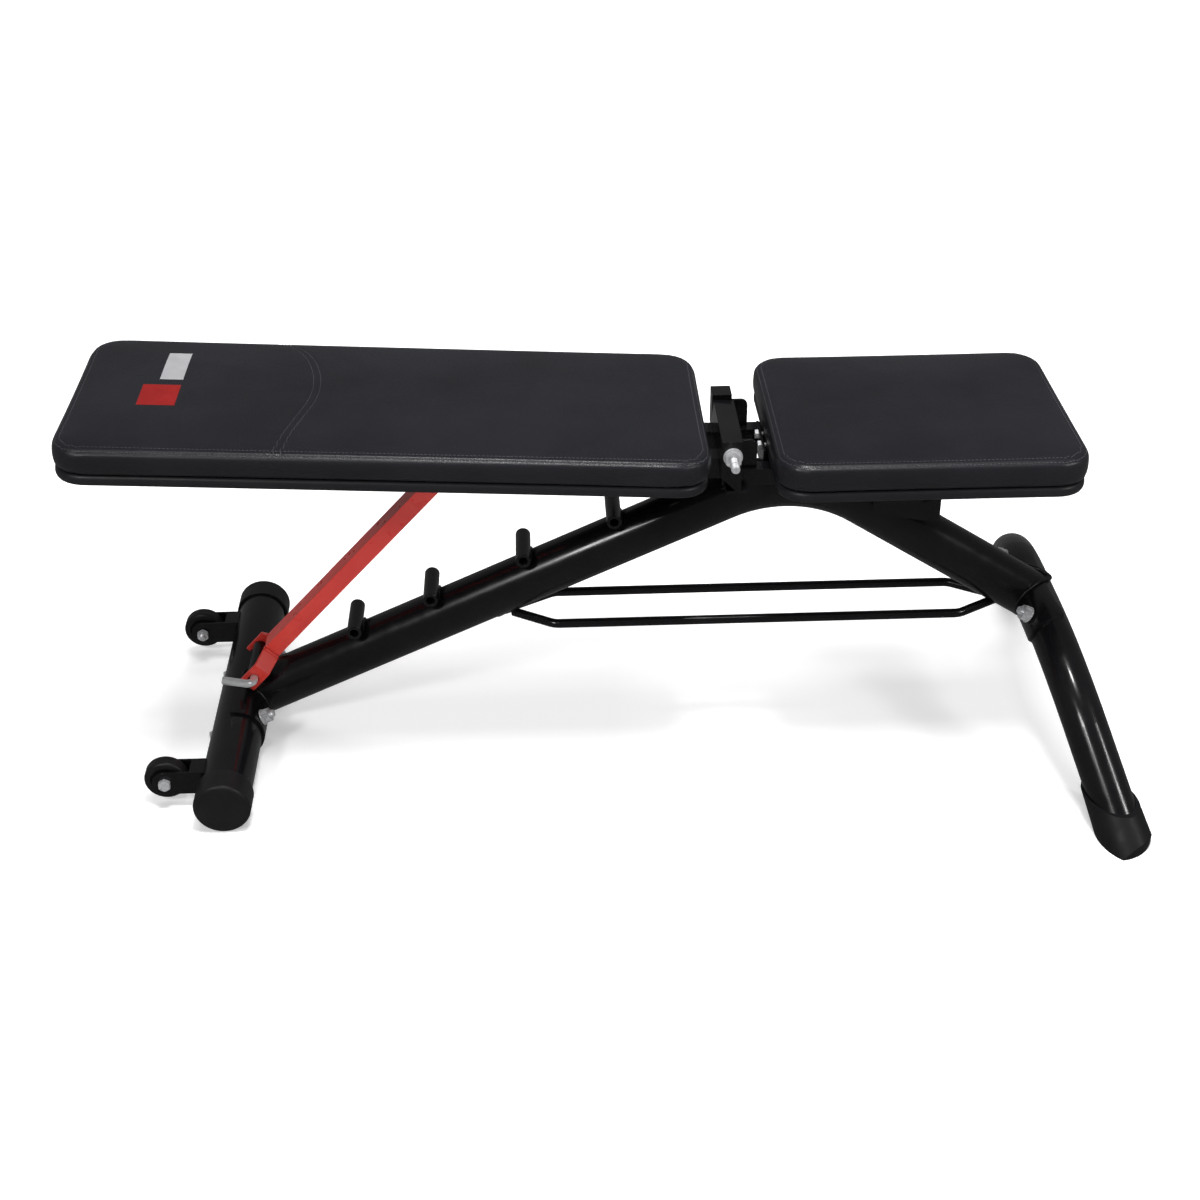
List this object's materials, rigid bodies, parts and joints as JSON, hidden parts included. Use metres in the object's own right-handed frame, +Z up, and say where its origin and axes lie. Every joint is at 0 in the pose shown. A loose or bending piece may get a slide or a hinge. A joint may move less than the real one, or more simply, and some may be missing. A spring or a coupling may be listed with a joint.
{
  "type": "adjustable weight bench",
  "caption": "Flat-to-upright exercise bench: padded seat and hinged padded backrest on a bent tube frame, with a strut that a pin locks at stepped angles, a rod rack and small transport wheels.",
  "frame": {"origin": "on the floor, under the middle of the bench's overall box with the backrest in its lowest place", "axes": "+X along the bench from the head end toward the seat and the arched front leg, +Y to the left, +Z up"},
  "size_m": [1.21, 0.6462, 0.4589],
  "materials": {
    "frame_paint": "gloss black powder coat",
    "strut_paint": "gloss red paint",
    "cushion_cover": "soft black artificial leather with a fine grain and stitched seams",
    "board_cover": "black artificial leather drawn round a board",
    "foot_rubber": "matte black moulded rubber",
    "cap_plastic": "matte black moulded plastic",
    "wheel_plastic": "matte black moulded plastic",
    "zinc_fixing": "bright zinc plate",
    "pin_chrome": "polished chrome",
    "bush_plastic": "off-white nylon"
  },
  "bodies": {
    "frame": {"main_tube": "frame_paint", "rear_saddle": "frame_paint", "front_saddle": "frame_paint", "rear_cross_tube": "frame_paint", "rear_cap_left": "cap_plastic", "rear_cap_right": "cap_plastic", "front_leg_tube": "frame_paint", "front_foot_left": "foot_rubber", "front_foot_right": "foot_rubber", "frame_bolts": "zinc_fixing", "frame_nuts": "zinc_fixing", "frame_washers": "zinc_fixing", "wheel_fork_left": "frame_paint", "wheel_fork_right": "frame_paint", "wheel_bolts": "zinc_fixing", "wheel_nuts": "zinc_fixing", "sleeve_1": "frame_paint", "sleeve_2": "frame_paint", "sleeve_3": "frame_paint", "sleeve_4": "frame_paint", "sleeve_5": "frame_paint", "rack_rod_left": "frame_paint", "rack_rod_right": "frame_paint", "hinge_yoke": "frame_paint", "hinge_bolt": "zinc_fixing", "hinge_nut": "zinc_fixing", "hinge_washers": "zinc_fixing", "seat_rail_left": "frame_paint", "seat_rail_right": "frame_paint", "seat_side_plates": "frame_paint", "seat_end_bracket": "frame_paint", "seat_front_bracket": "frame_paint", "seat_rivets": "frame_paint", "seat_board": "board_cover", "seat_pad": "cushion_cover", "seat_screws": "zinc_fixing", "seat_rail_plugs": "cap_plastic"},
    "backrest": {"hinge_bushes": "bush_plastic", "hinge_sleeve": "frame_paint", "hinge_cross_tube": "frame_paint", "back_rail_left": "frame_paint", "back_rail_right": "frame_paint", "back_board": "board_cover", "back_pad": "cushion_cover", "back_screws": "zinc_fixing", "strut_bolt": "zinc_fixing", "strut_nut": "zinc_fixing", "strut_spacers": "bush_plastic", "back_rail_plugs": "cap_plastic"},
    "strut": {"strut_channel": "strut_paint", "strut_ear_left": "strut_paint", "strut_ear_right": "strut_paint", "strut_bush": "strut_paint"},
    "pin": {"lock_pin": "pin_chrome"},
    "left_wheel": {"wheel_left": "wheel_plastic"},
    "right_wheel": {"wheel_right": "wheel_plastic"}
  },
  "joints": [
    {"name": "backrest_hinge", "type": "hinge", "parent": "frame", "child": "backrest", "pos_m": [0.135, 0, 0.391], "axis": [0, 1, 0], "range_deg": [0, 79]},
    {"name": "strut_swing", "type": "hinge", "parent": "backrest", "child": "strut", "pos_m": [-0.16214, 0, 0.37703], "axis": [0, 1, 0], "range_deg": [-113.6, 0]},
    {"name": "lock_pin_slide", "type": "slide", "parent": "frame", "child": "pin", "axis": [0, -1, 0], "range_m": [0, 0.09]},
    {"name": "wheel_left_spin", "type": "hinge", "parent": "frame", "child": "left_wheel", "pos_m": [-0.526, 0.161, 0.034], "axis": [0, 1, 0], "continuous": true},
    {"name": "wheel_right_spin", "type": "hinge", "parent": "frame", "child": "right_wheel", "pos_m": [-0.526, -0.161, 0.034], "axis": [0, 1, 0], "continuous": true}
  ],
  "couplings": [
    {"joint": "strut_swing", "follows": "backrest_hinge", "ratio": -1.4314}
  ]
}
